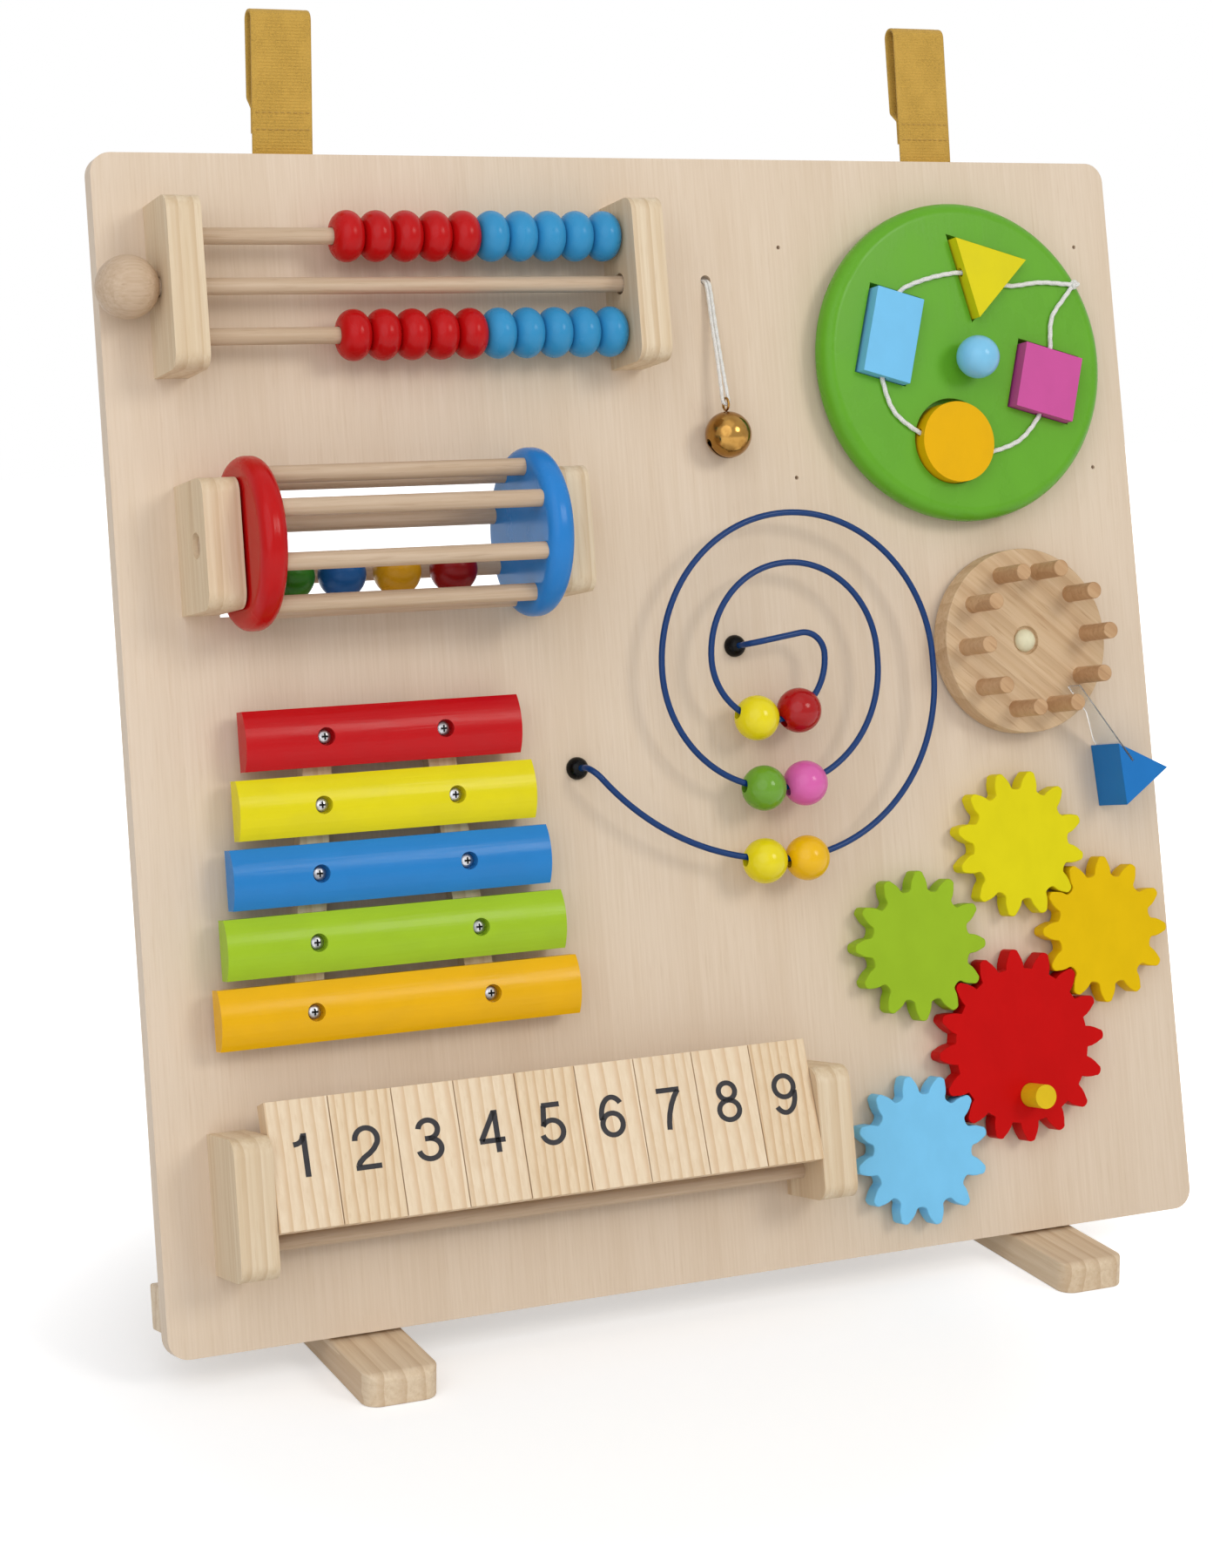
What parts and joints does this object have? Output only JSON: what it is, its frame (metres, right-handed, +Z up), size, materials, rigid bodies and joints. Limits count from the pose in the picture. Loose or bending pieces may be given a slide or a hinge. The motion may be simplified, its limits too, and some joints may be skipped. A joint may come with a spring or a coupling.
{
  "type": "activity board",
  "caption": "Free-standing wooden activity board with abacus, rattle drum, xylophone, flip tiles, bead maze, bell, shape disc, clicker wheel and gear train.",
  "frame": {"origin": "floor level, midway between the two feet", "axes": "+Z up, the play face looks along -Y and leans back, +X to the right of someone facing it"},
  "size_m": [0.5558, 0.23, 0.6241],
  "materials": {
    "board_ply": "clear satin lacquer",
    "pine": "clear satin lacquer",
    "beech": "clear satin lacquer",
    "tile_birch": "clear satin lacquer",
    "webbing": "ribbed woven",
    "steel": "plated",
    "paint_red": "satin paint",
    "paint_blue": "satin paint",
    "paint_light_blue": "satin paint",
    "paint_green": "satin paint",
    "paint_dark_green": "satin paint",
    "paint_yellow": "satin paint",
    "paint_amber": "satin paint",
    "paint_orange": "satin paint",
    "paint_pink": "satin paint",
    "paint_mauve": "satin paint",
    "wire_blue": "gloss coated wire",
    "ferrule_black": "matt",
    "bell_brass": "polished",
    "cord_white": "braided",
    "clear_sheet": "clear"
  },
  "bodies": {
    "board": {"panel": "board_ply", "rear_batten": "pine", "feet": "pine", "hang_straps": "webbing", "screws": "steel", "board_blocks": "pine", "dowel_rods": "beech", "bar_red": "paint_red", "bar_yellow": "paint_yellow", "bar_blue": "paint_blue", "bar_green": "paint_green", "bar_orange": "paint_orange", "maze_wire": "wire_blue", "maze_ferrules": "ferrule_black", "clicker_block": "paint_blue", "clicker_tongue": "clear_sheet", "axle_pins": "steel"},
    "mallet": {"mallet": "beech"},
    "upper_blue": {"upper_blue_beads": "paint_light_blue"},
    "upper_red": {"upper_red_beads": "paint_red"},
    "lower_blue": {"lower_blue_beads": "paint_light_blue"},
    "lower_red": {"lower_red_beads": "paint_red"},
    "drum": {"drum_disc_red": "paint_red", "drum_disc_blue": "paint_blue", "drum_dowels": "beech"},
    "ball_red": {"rattle_ball_red": "paint_red"},
    "ball_yellow": {"rattle_ball_yellow": "paint_yellow"},
    "ball_blue": {"rattle_ball_blue": "paint_blue"},
    "ball_green": {"rattle_ball_green": "paint_dark_green"},
    "bell": {"bell": "bell_brass", "bell_cord": "cord_white"},
    "disc": {"shape_disc": "paint_green", "disc_knob": "paint_light_blue", "shape_cord": "cord_white"},
    "triangle": {"shape_triangle": "paint_yellow"},
    "rectangle": {"shape_rectangle": "paint_light_blue"},
    "round": {"shape_round": "paint_orange"},
    "square": {"shape_square": "paint_mauve"},
    "peg_wheel": {"peg_wheel": "beech"},
    "gear_red": {"gear_red": "paint_red", "gear_handle": "paint_yellow"},
    "gear_green": {"gear_green": "paint_green"},
    "gear_amber": {"gear_amber": "paint_amber"},
    "gear_yellow": {"gear_yellow": "paint_yellow"},
    "gear_light_blue": {"gear_light_blue": "paint_light_blue"},
    "tile_1": {"tile_1": "tile_birch"},
    "tile_2": {"tile_2": "tile_birch"},
    "tile_3": {"tile_3": "tile_birch"},
    "tile_4": {"tile_4": "tile_birch"},
    "tile_5": {"tile_5": "tile_birch"},
    "tile_6": {"tile_6": "tile_birch"},
    "tile_7": {"tile_7": "tile_birch"},
    "tile_8": {"tile_8": "tile_birch"},
    "tile_9": {"tile_9": "tile_birch"},
    "bead_lemon": {"maze_bead_lemon": "paint_yellow"},
    "bead_orange": {"maze_bead_orange": "paint_orange"},
    "bead_green": {"maze_bead_green": "paint_green"},
    "bead_pink": {"maze_bead_pink": "paint_pink"},
    "bead_yellow": {"maze_bead_yellow": "paint_yellow"},
    "bead_red": {"maze_bead_red": "paint_red"}
  },
  "joints": [
    {"name": "mallet_draw", "type": "slide", "parent": "board", "child": "mallet", "axis": [-1, 0, 0], "range_m": [0, 0.245]},
    {"name": "upper_blue_slide", "type": "slide", "parent": "board", "child": "upper_blue", "axis": [-1, 0, 0], "range_m": [0, 0.034]},
    {"name": "upper_red_slide", "type": "slide", "parent": "upper_blue", "child": "upper_red", "axis": [-1, 0, 0], "range_m": [0, 0.034]},
    {"name": "lower_blue_slide", "type": "slide", "parent": "board", "child": "lower_blue", "axis": [-1, 0, 0], "range_m": [0, 0.034]},
    {"name": "lower_red_slide", "type": "slide", "parent": "lower_blue", "child": "lower_red", "axis": [-1, 0, 0], "range_m": [0, 0.034]},
    {"name": "drum_spin", "type": "hinge", "parent": "board", "child": "drum", "pos_m": [-0.1508, -0.02169, 0.37915], "axis": [1, 0, 0], "continuous": true},
    {"name": "ball_red_roll", "type": "slide", "parent": "board", "child": "ball_red", "axis": [1, 0, 0], "range_m": [0, 0.019]},
    {"name": "ball_yellow_roll", "type": "slide", "parent": "ball_red", "child": "ball_yellow", "axis": [1, 0, 0], "range_m": [0, 0.0054]},
    {"name": "ball_blue_roll", "type": "slide", "parent": "ball_yellow", "child": "ball_blue", "axis": [1, 0, 0], "range_m": [0, 0.0044]},
    {"name": "ball_green_roll", "type": "slide", "parent": "ball_blue", "child": "ball_green", "axis": [1, 0, 0], "range_m": [0, 0.0022]},
    {"name": "tile_1_flip", "type": "hinge", "parent": "board", "child": "tile_1", "pos_m": [-0.2174, -0.0884, 0.09174], "axis": [1, 0, 0], "range_deg": [0, 205]},
    {"name": "tile_2_flip", "type": "hinge", "parent": "board", "child": "tile_2", "pos_m": [-0.187, -0.0884, 0.09174], "axis": [1, 0, 0], "range_deg": [0, 205]},
    {"name": "tile_3_flip", "type": "hinge", "parent": "board", "child": "tile_3", "pos_m": [-0.1566, -0.0884, 0.09174], "axis": [1, 0, 0], "range_deg": [0, 205]},
    {"name": "tile_4_flip", "type": "hinge", "parent": "board", "child": "tile_4", "pos_m": [-0.1262, -0.0884, 0.09174], "axis": [1, 0, 0], "range_deg": [0, 205]},
    {"name": "tile_5_flip", "type": "hinge", "parent": "board", "child": "tile_5", "pos_m": [-0.0958, -0.0884, 0.09174], "axis": [1, 0, 0], "range_deg": [0, 205]},
    {"name": "tile_6_flip", "type": "hinge", "parent": "board", "child": "tile_6", "pos_m": [-0.0654, -0.0884, 0.09174], "axis": [1, 0, 0], "range_deg": [0, 205]},
    {"name": "tile_7_flip", "type": "hinge", "parent": "board", "child": "tile_7", "pos_m": [-0.035, -0.0884, 0.09174], "axis": [1, 0, 0], "range_deg": [0, 205]},
    {"name": "tile_8_flip", "type": "hinge", "parent": "board", "child": "tile_8", "pos_m": [-0.0046, -0.0884, 0.09174], "axis": [1, 0, 0], "range_deg": [0, 205]},
    {"name": "tile_9_flip", "type": "hinge", "parent": "board", "child": "tile_9", "pos_m": [0.0258, -0.0884, 0.09174], "axis": [1, 0, 0], "range_deg": [0, 205]},
    {"name": "bead_lemon_run", "type": "hinge", "parent": "board", "child": "bead_lemon", "pos_m": [0.0495, -0.0181, 0.34312], "axis": [0, -0.9781, 0.2079], "range_deg": [-34, 0]},
    {"name": "bead_orange_run", "type": "hinge", "parent": "board", "child": "bead_orange", "pos_m": [0.0495, -0.02694, 0.30155], "axis": [0, -0.9781, 0.2079], "range_deg": [0, 75]},
    {"name": "bead_green_run", "type": "hinge", "parent": "board", "child": "bead_green", "pos_m": [0.0459, -0.02548, 0.3084], "axis": [0, -0.9781, 0.2079], "range_deg": [-69, 0]},
    {"name": "bead_pink_run", "type": "hinge", "parent": "board", "child": "bead_pink", "pos_m": [0.0459, -0.02548, 0.3084], "axis": [0, -0.9781, 0.2079], "range_deg": [0, 64]},
    {"name": "bead_yellow_run", "type": "hinge", "parent": "board", "child": "bead_yellow", "pos_m": [0.0446, -0.02452, 0.3129], "axis": [0, -0.9781, 0.2079], "range_deg": [-50, 0]},
    {"name": "bead_red_run", "type": "hinge", "parent": "board", "child": "bead_red", "pos_m": [0.0446, -0.02452, 0.3129], "axis": [0, -0.9781, 0.2079], "range_deg": [0, 38]},
    {"name": "bell_swing", "type": "hinge", "parent": "board", "child": "bell", "pos_m": [0.0354, 0.03256, 0.4949], "axis": [0, -0.9781, 0.2079], "range_deg": [-30, 30]},
    {"name": "disc_spin", "type": "hinge", "parent": "board", "child": "disc", "pos_m": [0.172, 0.01445, 0.45295], "axis": [0, -0.9781, 0.2079], "continuous": true},
    {"name": "triangle_lift", "type": "slide", "parent": "disc", "child": "triangle", "axis": [0, -0.9781, 0.2079], "range_m": [0, 0.03]},
    {"name": "rectangle_lift", "type": "slide", "parent": "disc", "child": "rectangle", "axis": [0, -0.9781, 0.2079], "range_m": [0, 0.03]},
    {"name": "round_lift", "type": "slide", "parent": "disc", "child": "round", "axis": [0, -0.9781, 0.2079], "range_m": [0, 0.03]},
    {"name": "square_lift", "type": "slide", "parent": "disc", "child": "square", "axis": [0, -0.9781, 0.2079], "range_m": [0, 0.03]},
    {"name": "wheel_spin", "type": "hinge", "parent": "board", "child": "peg_wheel", "pos_m": [0.195, -0.01466, 0.31121], "axis": [0, -0.9781, 0.2079], "continuous": true, "deforming": ["clicker_tongue"]},
    {"name": "gear_red_spin", "type": "hinge", "parent": "board", "child": "gear_red", "pos_m": [0.1745, -0.0552, 0.11086], "axis": [0, -0.9781, 0.2079], "continuous": true},
    {"name": "gear_green_spin", "type": "hinge", "parent": "board", "child": "gear_green", "pos_m": [0.12082, -0.04372, 0.16486], "axis": [0, -0.9781, 0.2079], "continuous": true},
    {"name": "gear_amber_spin", "type": "hinge", "parent": "board", "child": "gear_amber", "pos_m": [0.2297, -0.04404, 0.16337], "axis": [0, -0.9781, 0.2079], "continuous": true},
    {"name": "gear_yellow_spin", "type": "hinge", "parent": "board", "child": "gear_yellow", "pos_m": [0.18394, -0.03415, 0.20988], "axis": [0, -0.9781, 0.2079], "continuous": true},
    {"name": "gear_light_blue_spin", "type": "hinge", "parent": "board", "child": "gear_light_blue", "pos_m": [0.11236, -0.06466, 0.06638], "axis": [0, -0.9781, 0.2079], "continuous": true}
  ],
  "couplings": [
    {"joint": "gear_green_spin", "follows": "gear_red_spin", "ratio": -1.3333},
    {"joint": "gear_amber_spin", "follows": "gear_red_spin", "ratio": -1.3333},
    {"joint": "gear_light_blue_spin", "follows": "gear_red_spin", "ratio": -1.3333},
    {"joint": "gear_yellow_spin", "follows": "gear_red_spin", "ratio": 1.3333}
  ]
}
